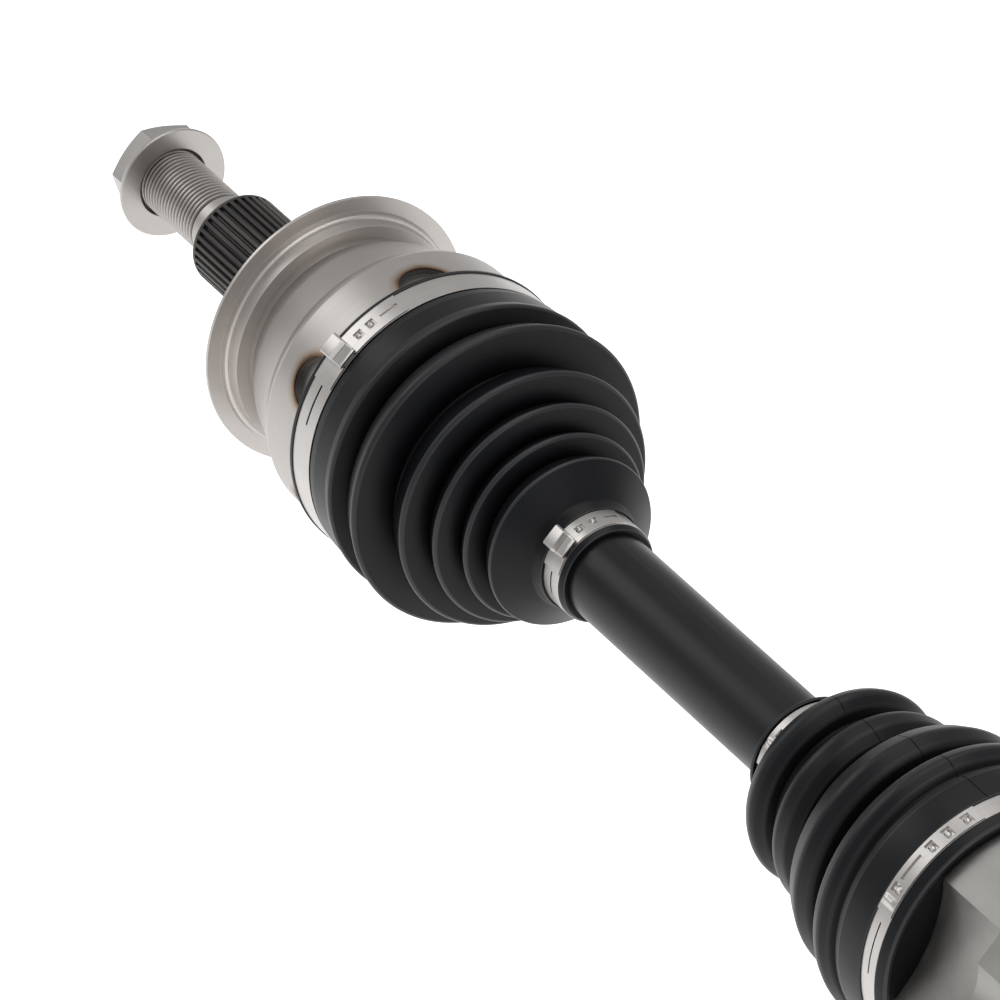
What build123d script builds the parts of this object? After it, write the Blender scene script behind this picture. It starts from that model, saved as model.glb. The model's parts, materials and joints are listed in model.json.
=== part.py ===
"""CV axle: outer ball joint, bar and inner tripod joint, on one axis.

Units are millimetres. The axle lies along X with +X towards the gearbox, +Z is up,
and the origin is on the axis, halfway along the whole length.
"""

from build123d import *
from math import cos, hypot, radians, sin
import os

# ---------------------------------------------------------------- driving dimensions
OUTER_X = -163.5  # centre of the outer ball joint
INNER_X = 210.5  # centre of the inner tripod joint
STUB_TIP_X = -345.5  # end of the threaded stub, at the wheel
INNER_TIP_X = 345.5  # end of the splined stub, at the gearbox
GAP = 0.05  # radial running clearance
WALL = 1.6  # wall of both rubber boots, measured square to the skin

BAR_R = 15.5  # bar between the joints
NECK_R = 12.6  # bar where it passes through the joints' mouths

BALL_R = 9.5
BALL_PITCH_R = 32.5  # ball centres from the outer joint's centre
BALL_COUNT = 6
BELL_R = 51.3
CAGE_OUTER_R = 35.0
CAGE_INNER_R = 29.5
CAGE_HALF_WIDTH = 15.0
CAGE_PLAY = 0.2  # running clearance between the cage and the bell's hollow
RACE_HALF_WIDTH = 12.5
TRACK_R = 11.82  # ball track section, wider than the ball so that balls can drift sideways
TRACK_SHIFT = 2.0  # the section's centre lies this far from the ball's centre

LOBE_PHASE = 7.0  # angle of the first trunnion from +Z, towards -Y
TRUNNION_R = 9.5
ROLLER_R = 15.5
ROLLER_PITCH_R = 27.0
ROLLER_WIDTH = 14.0
NEEDLE_R = 1.25
NEEDLE_COUNT = 26
TULIP_R = 44.2
TULIP_MOUTH_X = INNER_X - 33.0
TULIP_STEP_X = INNER_X + 23.0
TULIP_FLOOR_X = INNER_X + 44.0
TULIP_BACK_X = INNER_X + 54.0

CLAMP_THICK = 0.8


def outer(x):
    """Distance x from the outer joint's centre, as a place on the axis."""
    return OUTER_X + x


def inner(x):
    """Distance x from the inner joint's centre, as a place on the axis."""
    return INNER_X + x


def outline(*points):
    """Closed face through the points, in the sketch that is being drawn."""
    with BuildLine() as edge:
        Polyline(*points, close=True)
    make_face(edge.edges())


def across(x):
    """Plane square to the axle at x, drawn as seen from the gearbox, with local Y up."""
    return Plane(origin=(x, 0, 0), x_dir=(0, 1, 0), z_dir=(1, 0, 0))


def trunnion_plane(index, radius):
    """Plane square to one trunnion, at a distance from the tripod's centre."""
    angle = radians(LOBE_PHASE + 120 * index)
    out = (0, -sin(angle), cos(angle))
    return Plane(origin=(INNER_X, radius * out[1], radius * out[2]), x_dir=(1, 0, 0), z_dir=out)


def save(builder, name):
    """Label one finished piece and write its STEP file."""
    builder.part.label = name
    export_step(builder.part, f"parts/{name}.step")


os.makedirs("parts", exist_ok=True)

# ---------------------------------------------------------------- axle nut
NUT_FACE_X = outer(-164.5)
NUT_HEIGHT = 13.0
NUT_FLANGE_R = 20.8
NUT_FLATS = 32.0
NUT_TURN = -10.0  # how far the nut is turned on the thread at rest
NUT_FLANGE_RIM = 1.6
NUT_FLANGE_HEIGHT = 5.2
THREAD_R = 12.0
THREAD_PITCH = 2.0
THREAD_DEPTH = 1.2

nut_back_x = NUT_FACE_X - NUT_HEIGHT
nut_cone_x = NUT_FACE_X - NUT_FLANGE_HEIGHT
with BuildPart() as axle_nut:
    with BuildSketch(across(nut_back_x)):
        RegularPolygon(radius=NUT_FLATS / 2, side_count=6, major_radius=False, rotation=NUT_TURN)
    extrude(amount=NUT_HEIGHT)
    with BuildSketch(Plane.XZ):
        outline(
            (nut_back_x, 0),
            (nut_back_x, NUT_FLATS / 2 - 0.6),
            (nut_back_x + 1.8, NUT_FLATS / 2 + 2.6),
            (NUT_FACE_X, NUT_FLATS / 2 + 2.6),
            (NUT_FACE_X, 0),
        )
    revolve(axis=Axis.X, mode=Mode.INTERSECT)
    with BuildSketch(Plane.XZ):
        outline(
            (nut_cone_x, 0),
            (nut_cone_x, NUT_FLATS / 2 - 0.4),
            (NUT_FACE_X - NUT_FLANGE_RIM, NUT_FLANGE_R - 0.3),
            (NUT_FACE_X - 0.4, NUT_FLANGE_R),
            (NUT_FACE_X, NUT_FLANGE_R - 0.4),
            (NUT_FACE_X, 0),
        )
    revolve(axis=Axis.X)
    with BuildSketch(Plane.XZ):
        outline(
            (nut_back_x - 1, 0),
            (nut_back_x - 1, THREAD_R + GAP + 1.2),
            (nut_back_x + 1.2, THREAD_R + GAP),
            (NUT_FACE_X - 1.2, THREAD_R + GAP),
            (NUT_FACE_X + 1, THREAD_R + GAP + 2.2),
            (NUT_FACE_X + 1, 0),
        )
    revolve(axis=Axis.X, mode=Mode.SUBTRACT)
save(axle_nut, "axle_nut")

# ---------------------------------------------------------------- outer joint bell and stub
STUB_SPLINE_R = 17.55
STUB_SPLINE_DEPTH = 1.2
STUB_SPLINE_TEETH = 38
STUB_SPLINE_LEAD = 2.2  # plain collar ahead of the spline
STUB_SPLINE_START_X = outer(-120)
HUB_FACE_X = outer(-58)
HUB_FACE_R = 30.0
SHIELD_SEAT_R = 38.3
SEAT_R = 48.4  # where the boot sits on the bell
SEAT_X = outer(11.0)
MOUTH_X = outer(23.0)
MOUTH_SLOPE_R = 18.9  # the mouth's 45 degree cone meets the axle's plane here
POCKET_R = 9.4
THREAD_END_X = outer(-130.7)

thread_points = []
crest_x = STUB_TIP_X + 1.8
while crest_x < THREAD_END_X:
    thread_points.append((crest_x, THREAD_R))
    thread_points.append((crest_x + THREAD_PITCH * 0.35, THREAD_R))
    thread_points.append((crest_x + THREAD_PITCH * 0.6, THREAD_R - THREAD_DEPTH))
    thread_points.append((crest_x + THREAD_PITCH * 0.75, THREAD_R - THREAD_DEPTH))
    crest_x += THREAD_PITCH

# One ball track, swept in the XZ plane from behind the balls out through the mouth.
TRACK_START = -40.0
TRACK_SWEEP = 100.0


def track_plane():
    """Plane of a ball track's section where its sweep starts."""
    start = radians(TRACK_START)
    return Plane(
        origin=(OUTER_X, 0, 0),
        x_dir=(sin(start), 0, cos(start)),
        z_dir=(cos(start), 0, -sin(start)),
    )


with BuildPart() as bell_track:
    with BuildSketch(track_plane()):
        with Locations((BALL_PITCH_R - TRACK_SHIFT, 0)):
            Circle(TRACK_R)
    revolve(axis=Axis((OUTER_X, 0, 0), (0, 1, 0)), revolution_arc=TRACK_SWEEP)

with BuildPart() as outer_housing:
    # threaded end, neck and bell, turned in one piece
    with BuildSketch(Plane.XZ):
        outline(
            (STUB_TIP_X, 0),
            (STUB_TIP_X, THREAD_R - 1.6),
            *thread_points,
            (THREAD_END_X + 0.6, THREAD_R - 0.2),
            (STUB_SPLINE_START_X, THREAD_R - 0.2),
            (STUB_SPLINE_START_X, STUB_SPLINE_R - 0.7),
            (STUB_SPLINE_START_X + 0.7, STUB_SPLINE_R),
            (HUB_FACE_X, STUB_SPLINE_R),
            (HUB_FACE_X, HUB_FACE_R),
            (HUB_FACE_X + 2.5, SHIELD_SEAT_R - 1.0),
            (HUB_FACE_X + 3.5, SHIELD_SEAT_R),
            (outer(-40.5), SHIELD_SEAT_R),
            (outer(-38.5), SHIELD_SEAT_R + 1.0),
            (outer(-33.0), 42.2),
            (outer(-31.2), 42.9),
            (outer(-14.0), 48.0),
            (outer(-9.5), 50.6),
            (outer(-7.5), BELL_R),
            (SEAT_X - 0.4, BELL_R),
            (SEAT_X, BELL_R - 0.4),
            (SEAT_X, SEAT_R),
            (MOUTH_X - 0.8, SEAT_R),
            (MOUTH_X, SEAT_R - 0.8),
            (MOUTH_X, 0),
        )
    revolve(axis=Axis.X)
    # spline grooves of the stub
    with BuildSketch(across(STUB_SPLINE_START_X + STUB_SPLINE_LEAD)):
        with PolarLocations(STUB_SPLINE_R, STUB_SPLINE_TEETH):
            Polygon((-STUB_SPLINE_DEPTH, -0.35), (-STUB_SPLINE_DEPTH, 0.35), (0.3, 0.95), (0.3, -0.95), align=None)
    extrude(amount=HUB_FACE_X - STUB_SPLINE_START_X - STUB_SPLINE_LEAD - 4, mode=Mode.SUBTRACT)
    # spherical hollow for the cage, opening in a 45 degree mouth
    with Locations((OUTER_X, 0, 0)):
        Sphere(CAGE_OUTER_R + CAGE_PLAY, mode=Mode.SUBTRACT)
    with BuildSketch(Plane.XZ):
        outline(
            (outer(8), 0),
            (outer(8), 8 + MOUTH_SLOPE_R),
            (outer(24), 24 + MOUTH_SLOPE_R),
            (outer(24), 0),
        )
    revolve(axis=Axis.X, mode=Mode.SUBTRACT)
    for index in range(BALL_COUNT):
        add(bell_track.part.rotate(Axis.X, index * 360 / BALL_COUNT), mode=Mode.SUBTRACT)
    # shallow pockets in the bell's edge, one over each ball track
    for index in range(BALL_COUNT):
        pocket_plane = Plane(origin=(SEAT_X, 0, 0), x_dir=(1, 0, 0), z_dir=(0, 0, 1))
        with BuildSketch(pocket_plane.rotated((index * 360 / BALL_COUNT, 0, 0)).offset(SEAT_R)):
            Circle(POCKET_R)
        extrude(amount=BELL_R - SEAT_R + 1, mode=Mode.SUBTRACT)
save(outer_housing, "outer_housing")

# ---------------------------------------------------------------- dust shield
SHIELD_X = outer(-51.0)
SHIELD_R = 50.2
with BuildPart() as dust_shield:
    with BuildSketch(Plane.XZ) as shield_section:
        outline(
            (SHIELD_X - 0.8, SHIELD_R),
            (SHIELD_X + 0.4, SHIELD_R),
            (SHIELD_X + 0.4, 45.0),
            (SHIELD_X + 3.4, 44.6),
            (SHIELD_X + 3.4, 43.3),
            (SHIELD_X + 7.6, 42.9),
            (SHIELD_X + 7.6, SHIELD_SEAT_R),
            (SHIELD_X - 3.0, SHIELD_SEAT_R),
            (SHIELD_X - 3.0, SHIELD_SEAT_R + 1.6),
            (SHIELD_X + 5.8, SHIELD_SEAT_R + 1.6),
            (SHIELD_X + 5.8, 41.2),
            (SHIELD_X + 1.6, 41.6),
            (SHIELD_X + 1.6, 42.9),
            (SHIELD_X - 0.8, 43.2),
        )
        shoulders = shield_section.vertices().filter_by_position(Axis.X, SHIELD_X + 3.3, SHIELD_X + 7.7)
        fillet(shoulders.group_by(Axis.Y)[-1], radius=1.1)
    revolve(axis=Axis.X)
save(dust_shield, "dust_shield")

# ---------------------------------------------------------------- cage, race and balls
with BuildPart() as outer_cage:
    with Locations((OUTER_X, 0, 0)):
        Sphere(CAGE_OUTER_R)
        Sphere(CAGE_INNER_R, mode=Mode.SUBTRACT)
        Box(2 * CAGE_HALF_WIDTH, 80, 80, mode=Mode.INTERSECT)
        for index in range(BALL_COUNT):
            window_angle = index * 360 / BALL_COUNT
            Box(
                2 * BALL_R + 0.04,
                2 * BALL_R + 4.5,
                60,
                rotation=(window_angle, 0, 0),
                align=(Align.CENTER, Align.CENTER, Align.MIN),
                mode=Mode.SUBTRACT,
            )
save(outer_cage, "outer_cage")

with BuildPart() as race_track:
    with BuildSketch(track_plane()):
        with Locations((BALL_PITCH_R + TRACK_SHIFT, 0)):
            Circle(TRACK_R)
    revolve(axis=Axis((OUTER_X, 0, 0), (0, 1, 0)), revolution_arc=-2 * TRACK_START)

RACE_BORE_R = 12.0
with BuildPart() as outer_inner_race:
    with Locations((OUTER_X, 0, 0)):
        Sphere(CAGE_INNER_R - GAP)
        Box(2 * RACE_HALF_WIDTH, 80, 80, mode=Mode.INTERSECT)
    for index in range(BALL_COUNT):
        add(race_track.part.rotate(Axis.X, index * 360 / BALL_COUNT), mode=Mode.SUBTRACT)
    with BuildSketch(across(outer(-RACE_HALF_WIDTH))):
        Circle(RACE_BORE_R + GAP)
    extrude(amount=2 * RACE_HALF_WIDTH, mode=Mode.SUBTRACT)
    # groove for the circlip that holds the bar
    with BuildSketch(across(outer(-9.0))):
        Circle(RACE_BORE_R + 1.4)
    extrude(amount=2.0, mode=Mode.SUBTRACT)
save(outer_inner_race, "outer_inner_race")

with BuildPart() as outer_balls:
    for index in range(BALL_COUNT):
        ball_angle = radians(index * 360 / BALL_COUNT)
        with Locations((OUTER_X, -BALL_PITCH_R * sin(ball_angle), BALL_PITCH_R * cos(ball_angle))):
            Sphere(BALL_R)
save(outer_balls, "outer_balls")


def split_ring(x, width, inner_r, outer_r, gap_width):
    """Flat spring ring open at the top, drawn into the piece that is being built."""
    with BuildSketch(across(x)) as ring:
        Circle(outer_r)
        Circle(inner_r, mode=Mode.SUBTRACT)
        with Locations((0, outer_r)):
            Rectangle(gap_width, 2 * outer_r - 2, mode=Mode.SUBTRACT)
    extrude(ring.sketch, amount=width)


RACE_CLIP_X = outer(-8.8)
with BuildPart() as outer_race_circlip:
    split_ring(RACE_CLIP_X, 1.6, RACE_BORE_R - 1.1, RACE_BORE_R + 1.2, 3.0)
save(outer_race_circlip, "outer_race_circlip")

STOP_RING_X = outer(12.7)
with BuildPart() as outer_race_stop_ring:
    split_ring(STOP_RING_X, 1.8, RACE_BORE_R - 1.1, RACE_BORE_R + 3.2, 5.0)
save(outer_race_stop_ring, "outer_race_stop_ring")

# ---------------------------------------------------------------- bar
SPIDER_BORE_R = 12.0
SPIDER_HALF_WIDTH = 12.6
CLIP_GROOVE_WIDTH = 2.0
with BuildPart() as shaft:
    with BuildSketch(Plane.XZ):
        outline(
            (outer(-13.5), 0),
            (outer(-13.5), RACE_BORE_R - 1.2),
            (outer(-12.3), RACE_BORE_R),
            (outer(16.0), RACE_BORE_R),
            (outer(17.5), NECK_R),
            (outer(54.0), NECK_R),
            (outer(66.0), BAR_R),
            (inner(-122.0), BAR_R),
            (inner(-112.0), NECK_R),
            (inner(-18.0), NECK_R),
            (inner(-17.0), SPIDER_BORE_R),
            (inner(15.6), SPIDER_BORE_R),
            (inner(16.8), SPIDER_BORE_R - 1.2),
            (inner(16.8), 0),
        )
    revolve(axis=Axis.X)
    # clip grooves: two at the outer joint, two at the tripod
    for groove_x in (outer(-8.9), outer(12.6), inner(-14.5), inner(12.65)):
        with BuildSketch(across(groove_x)):
            Circle(RACE_BORE_R + 1)
            Circle(RACE_BORE_R - 1.2, mode=Mode.SUBTRACT)
        extrude(amount=CLIP_GROOVE_WIDTH, mode=Mode.SUBTRACT)
save(shaft, "shaft")

# ---------------------------------------------------------------- boots
OUTER_COLLAR_X = outer(116.0)
OUTER_CLAMP_X = outer(12.9)
OUTER_CLAMP_WIDTH = 10.5
OUTER_CLAMP_R = 52.55
OUTER_SMALL_R = 17.6
OUTER_SMALL_WIDTH = 9.1

def inner_skin(points):
    """Points one wall thickness inside a boot's outer skin, from its last point to its first."""
    normals = []
    for (x1, r1), (x2, r2) in zip(points, points[1:]):
        length = hypot(x2 - x1, r2 - r1)
        normals.append(((r2 - r1) / length, (x1 - x2) / length))
    before = [normals[0], *normals]
    after = [*normals, normals[-1]]
    skin = []
    for (x, r), (ax, ar), (bx, br) in zip(points, before, after):
        reach = WALL / (1 + ax * bx + ar * br)
        skin.append((x + reach * (ax + bx), r + reach * (ar + br)))
    return skin[::-1]


# crests, valleys and ledges of the outer boot, from the bell to its small end
OUTER_FOLDS = [
    (36.2, 54.3),
    (40.3, 55.3),
    (45.0, 45.5),
    (49.0, 52.6),
    (57.2, 56.3),
    (61.4, 39.5),
    (64.8, 44.8),
    (74.8, 48.7),
    (77.0, 34.0),
    (79.0, 39.3),
    (85.0, 42.1),
    (87.0, 29.0),
    (88.8, 33.4),
    (94.0, 35.9),
    (96.0, 24.5),
    (98.0, 29.4),
    (104.6, 32.4),
    (113.0, 19.2),
]
outer_folds = [(outer(x), r) for x, r in OUTER_FOLDS]
with BuildPart() as outer_boot:
    with BuildSketch(Plane.XZ) as boot_section:
        outline(
            (outer(11.5), SEAT_R + GAP),
            (outer(11.5), OUTER_CLAMP_R + 0.7),
            (OUTER_CLAMP_X - GAP, OUTER_CLAMP_R + 0.7),
            (OUTER_CLAMP_X - GAP, OUTER_CLAMP_R - GAP),
            (OUTER_CLAMP_X + OUTER_CLAMP_WIDTH + GAP, OUTER_CLAMP_R - GAP),
            (outer(27.0), 53.6),
            *outer_folds,
            (OUTER_COLLAR_X - GAP, 19.2),
            (OUTER_COLLAR_X - GAP, OUTER_SMALL_R - GAP),
            (OUTER_COLLAR_X + OUTER_SMALL_WIDTH + GAP, OUTER_SMALL_R - GAP),
            (OUTER_COLLAR_X + OUTER_SMALL_WIDTH + GAP, 18.2),
            (outer(127.4), 17.2),
            (outer(127.4), BAR_R + GAP),
            (outer(110.5), BAR_R + GAP),
            *inner_skin(outer_folds),
            (outer(25.0), 54.2 - WALL),
            (outer(23.4), SEAT_R + GAP),
        )
    revolve(axis=Axis.X)
save(outer_boot, "outer_boot")

INNER_COLLAR_X = inner(-126.0)
INNER_SMALL_WIDTH = 7.6
INNER_SMALL_R = 19.2
INNER_CLAMP_X = inner(-19.7)
INNER_CLAMP_WIDTH = 7.3
INNER_CLAMP_R = 48.5
BUSHING_R = 46.0
BOOT_END_X = inner(-8.0)

# crests and valleys of the inner boot, from its small end to the tulip
INNER_FOLDS = [
    (-118.3, 21.0),
    (-113.6, 28.5),
    (-110.0, 33.0),
    (-105.6, 35.2),
    (-98.8, 30.0),
    (-90.0, 36.2),
    (-79.5, 30.8),
    (-73.0, 40.0),
    (-64.0, 45.4),
    (-53.6, 39.0),
    (-50.0, 46.0),
    (-43.6, 50.8),
    (-36.6, 46.6),
    (-33.0, 49.6),
]
inner_folds = [(inner(x), r) for x, r in INNER_FOLDS]
with BuildPart() as inner_boot:
    with BuildSketch(Plane.XZ):
        outline(
            (inner(-128.1), BAR_R + GAP),
            (inner(-128.1), 21.0),
            (INNER_COLLAR_X - GAP, 21.0),
            (INNER_COLLAR_X - GAP, INNER_SMALL_R - GAP),
            (INNER_COLLAR_X + INNER_SMALL_WIDTH + GAP, INNER_SMALL_R - GAP),
            *inner_folds,
            (INNER_CLAMP_X - GAP, 49.6),
            (INNER_CLAMP_X - GAP, INNER_CLAMP_R - GAP),
            (INNER_CLAMP_X + INNER_CLAMP_WIDTH + GAP, INNER_CLAMP_R - GAP),
            (INNER_CLAMP_X + INNER_CLAMP_WIDTH + GAP, 49.0),
            (BOOT_END_X, 48.0),
            (BOOT_END_X, BUSHING_R + GAP),
            (inner(-36.0), BUSHING_R + GAP),
            *inner_skin(inner_folds)[1:],
            (inner(-119.5), BAR_R + GAP),
        )
    revolve(axis=Axis.X)
save(inner_boot, "inner_boot")


# ---------------------------------------------------------------- boot clamps
def at_angle(radius, beta):
    """Point of a sketch drawn on across(x): beta is measured from up towards -Y."""
    return (-radius * sin(radians(beta)), radius * cos(radians(beta)))


def sector(radius, start, end):
    """Pie slice used to keep part of a ring, between two angles from up towards -Y."""
    with BuildLine() as edge:
        Line((0, 0), at_angle(radius, start))
        ThreePointArc(at_angle(radius, start), at_angle(radius, (start + end) / 2), at_angle(radius, end))
        Line(at_angle(radius, end), (0, 0))
    make_face(edge.edges(), mode=Mode.INTERSECT)


# Openings punched in every clamp's lap: share of the lap, length round it, share of the width.
LAP_OPENINGS = ((0.33, 2.8, 0.32), (0.55, 2.8, 0.32), (0.84, 5.5, 0.12))


def clamp_band(x, width, inner_r, ear_beta, ear_height, lap, tongue):
    """Stainless clamp: a band, a lapped outer end and, with a height, a crimped hollow ear.

    The lap is the angle over which the band's outer end covers its inner end. The tongue is
    the slot on the ear's other side, as (angle from the ear, length).
    """
    band_r = inner_r + CLAMP_THICK
    ear_length = 1.7 * ear_height
    openings = [(ear_beta + lap * offset, length, share) for offset, length, share in LAP_OPENINGS]
    openings.append((ear_beta + tongue[0], tongue[1], 0.14))
    with BuildSketch(across(x)) as ring:
        Circle(band_r)
        Circle(inner_r, mode=Mode.SUBTRACT)
    with BuildSketch(across(x + 0.3)) as lap_ring:
        Circle(band_r + CLAMP_THICK * 0.75)
        Circle(band_r - 0.2, mode=Mode.SUBTRACT)
        sector(2 * band_r, ear_beta, ear_beta + lap)
    with BuildPart() as clamp:
        extrude(ring.sketch, amount=width)
        extrude(lap_ring.sketch, amount=width - 0.6)
        for beta, length, share in openings:
            radial = (0, -sin(radians(beta)), cos(radians(beta)))
            opening_plane = Plane(
                origin=(x + width / 2, radial[1] * (inner_r - 1.5), radial[2] * (inner_r - 1.5)),
                x_dir=(1, 0, 0),
                z_dir=radial,
            )
            with BuildSketch(opening_plane):
                Rectangle(width * share, length)
            extrude(amount=5, mode=Mode.SUBTRACT)
        if ear_height:
            ear_radial = (0, -sin(radians(ear_beta)), cos(radians(ear_beta)))
            ear_plane = Plane(
                origin=(x + 0.6, ear_radial[1] * (band_r - 0.3), ear_radial[2] * (band_r - 0.3)),
                x_dir=(0, cos(radians(ear_beta)), sin(radians(ear_beta))),
                z_dir=(1, 0, 0),
            )
            with BuildSketch(ear_plane):
                with Locations((0, ear_height / 2)):
                    RectangleRounded(ear_length, ear_height, radius=ear_height * 0.35)
                    RectangleRounded(
                        ear_length - 2.0,
                        ear_height - 1.8,
                        radius=ear_height * 0.2,
                        mode=Mode.SUBTRACT,
                    )
            extrude(amount=width - 1.2)
    return clamp


outer_boot_clamp_large = clamp_band(
    OUTER_CLAMP_X, OUTER_CLAMP_WIDTH, OUTER_CLAMP_R, ear_beta=42.5, ear_height=4.6, lap=-25.5, tongue=(21.5, 14)
)
save(outer_boot_clamp_large, "outer_boot_clamp_large")
outer_boot_clamp_small = clamp_band(
    OUTER_COLLAR_X, OUTER_SMALL_WIDTH, OUTER_SMALL_R, ear_beta=45.0, ear_height=4.4, lap=-70.0, tongue=(45.0, 8)
)
save(outer_boot_clamp_small, "outer_boot_clamp_small")
inner_boot_clamp_small = clamp_band(
    INNER_COLLAR_X, INNER_SMALL_WIDTH, INNER_SMALL_R, ear_beta=57.0, ear_height=0, lap=-70.0, tongue=(45.0, 8)
)
save(inner_boot_clamp_small, "inner_boot_clamp_small")
inner_boot_clamp_large = clamp_band(
    INNER_CLAMP_X, INNER_CLAMP_WIDTH, INNER_CLAMP_R, ear_beta=57.0, ear_height=0, lap=-44.0, tongue=(19.5, 15)
)
save(inner_boot_clamp_large, "inner_boot_clamp_large")


# ---------------------------------------------------------------- tulip and its bushing
def lobed_face(corner_r, arc_half, flat_half, valley_r):
    """Three-lobed section: round lobes, flats out to flat_half, hollow valleys between."""
    with BuildLine() as edge:
        for index in range(3):
            centre = LOBE_PHASE + 120 * index
            start, end = centre - arc_half, centre + arc_half
            ThreePointArc(at_angle(corner_r, start), at_angle(corner_r, centre), at_angle(corner_r, end))
            if flat_half > arc_half:
                Line(at_angle(corner_r, end), at_angle(corner_r, centre + flat_half))
                Line(at_angle(corner_r, centre - flat_half), at_angle(corner_r, start))
            ThreePointArc(
                at_angle(corner_r, centre + flat_half),
                at_angle(valley_r, centre + 60),
                at_angle(corner_r, centre + 120 - flat_half),
            )
    make_face(edge.edges())


LOBE_HALF = 31.6
VALLEY_R = 34.5
CAVITY_R = 23.0
SLOT_HALF = 16.1
SLOT_TOP = 37.2
MOUTH_CONE_R = 31.0
TULIP_BACK_R = 32.0
JOURNAL_R = 17.5
JOURNAL_END_X = inner(80.0)
INNER_SPLINE_R = 13.0
INNER_SPLINE_DEPTH = 1.1
INNER_SPLINE_TEETH = 27
INNER_SPLINE_X = inner(84.0)
INNER_CLIP_X = inner(125.0)
MOUTH_CONE_SLOPE = 0.33

with BuildPart() as inner_housing:
    with BuildSketch(across(TULIP_MOUTH_X)):
        lobed_face(TULIP_R, LOBE_HALF, LOBE_HALF, VALLEY_R)
    extrude(amount=TULIP_STEP_X - TULIP_MOUTH_X)
    with BuildSketch(across(TULIP_STEP_X)):
        lobed_face(TULIP_R - 0.2, LOBE_HALF, 47.5, 40.0)
    extrude(amount=TULIP_BACK_X - TULIP_STEP_X)
    # the forging tapers in towards the stub
    with BuildSketch(Plane.XZ):
        outline(
            (TULIP_MOUTH_X, 0),
            (TULIP_MOUTH_X, TULIP_R - 1.0),
            (TULIP_MOUTH_X + 1.0, TULIP_R),
            (TULIP_FLOOR_X + 1, TULIP_R + 1),
            (TULIP_BACK_X, TULIP_BACK_R),
            (TULIP_BACK_X, 0),
        )
    revolve(axis=Axis.X, mode=Mode.INTERSECT)
    with BuildSketch(Plane.XZ):
        outline(
            (TULIP_BACK_X - 1, 0),
            (TULIP_BACK_X - 1, TULIP_BACK_R - 1),
            (TULIP_BACK_X, TULIP_BACK_R - 1),
            (TULIP_BACK_X + 5, JOURNAL_R + 2),
            (TULIP_BACK_X + 6.5, JOURNAL_R),
            (JOURNAL_END_X - 1.2, JOURNAL_R),
            (JOURNAL_END_X, JOURNAL_R - 1.2),
            (JOURNAL_END_X, INNER_SPLINE_R - INNER_SPLINE_DEPTH - 0.2),
            (INNER_TIP_X - 1.5, INNER_SPLINE_R - INNER_SPLINE_DEPTH - 0.2),
            (INNER_TIP_X, INNER_SPLINE_R - INNER_SPLINE_DEPTH - 1.7),
            (INNER_TIP_X, 0),
        )
    revolve(axis=Axis.X)
    with BuildSketch(across(INNER_SPLINE_X)):
        Circle(INNER_SPLINE_R - INNER_SPLINE_DEPTH)
        with PolarLocations(INNER_SPLINE_R - INNER_SPLINE_DEPTH / 2 - 0.1, INNER_SPLINE_TEETH):
            Rectangle(INNER_SPLINE_DEPTH + 0.2, 1.5)
    extrude(amount=INNER_TIP_X - 3 - INNER_SPLINE_X)
    with BuildSketch(across(INNER_CLIP_X)):
        Circle(INNER_SPLINE_R + 1)
        Circle(INNER_SPLINE_R - INNER_SPLINE_DEPTH - 0.6, mode=Mode.SUBTRACT)
    extrude(amount=2.0, mode=Mode.SUBTRACT)
    # hollow: a round bore and three roller tracks
    with BuildSketch(across(TULIP_MOUTH_X)) as hollow:
        Circle(CAVITY_R)
        with Locations(Rotation(0, 0, LOBE_PHASE)):
            with PolarLocations(SLOT_TOP / 2, 3, start_angle=90):
                RectangleRounded(SLOT_TOP, 2 * SLOT_HALF, radius=3.0)
    extrude(amount=TULIP_FLOOR_X - TULIP_MOUTH_X, mode=Mode.SUBTRACT)
    with BuildSketch(Plane.XZ):
        outline(
            (TULIP_MOUTH_X - 1, 0),
            (TULIP_MOUTH_X - 1, MOUTH_CONE_R + MOUTH_CONE_SLOPE),
            (TULIP_MOUTH_X + 28, MOUTH_CONE_R - 28 * MOUTH_CONE_SLOPE),
            (TULIP_MOUTH_X + 28, 0),
        )
    revolve(axis=Axis.X, mode=Mode.SUBTRACT)
save(inner_housing, "inner_housing")

BUSHING_X = TULIP_MOUTH_X + 1.5
with BuildPart() as inner_boot_bushing:
    with BuildSketch(across(BUSHING_X)):
        Circle(BUSHING_R)
    extrude(amount=BOOT_END_X - 0.4 - BUSHING_X)
    with BuildSketch(across(BUSHING_X)):
        lobed_face(TULIP_R + GAP, LOBE_HALF, LOBE_HALF, VALLEY_R + GAP)
    extrude(amount=BOOT_END_X - BUSHING_X, mode=Mode.SUBTRACT)
save(inner_boot_bushing, "inner_boot_bushing")

with BuildPart() as inner_stub_circlip:
    split_ring(INNER_CLIP_X + 0.2, 1.6, INNER_SPLINE_R - INNER_SPLINE_DEPTH - 0.55, INNER_SPLINE_R + 0.5, 3.0)
save(inner_stub_circlip, "inner_stub_circlip")

# ---------------------------------------------------------------- tripod
HUB_R = 17.5
COLLAR_R = 12.2
TRUNNION_ROOT = 13.0
COLLAR_TOP = 19.5
TRUNNION_TOP = 35.2
SNAP_GROOVE_R = 8.7
SNAP_GROOVE_BASE = 33.85
SNAP_GROOVE_WIDTH = 0.8
NEEDLE_BASE = 20.3
NEEDLE_LENGTH = 12.4
NEEDLE_CENTRE_R = TRUNNION_R + NEEDLE_R + 0.03
ROLLER_BORE_R = TRUNNION_R + 2 * NEEDLE_R + 0.07

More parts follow.
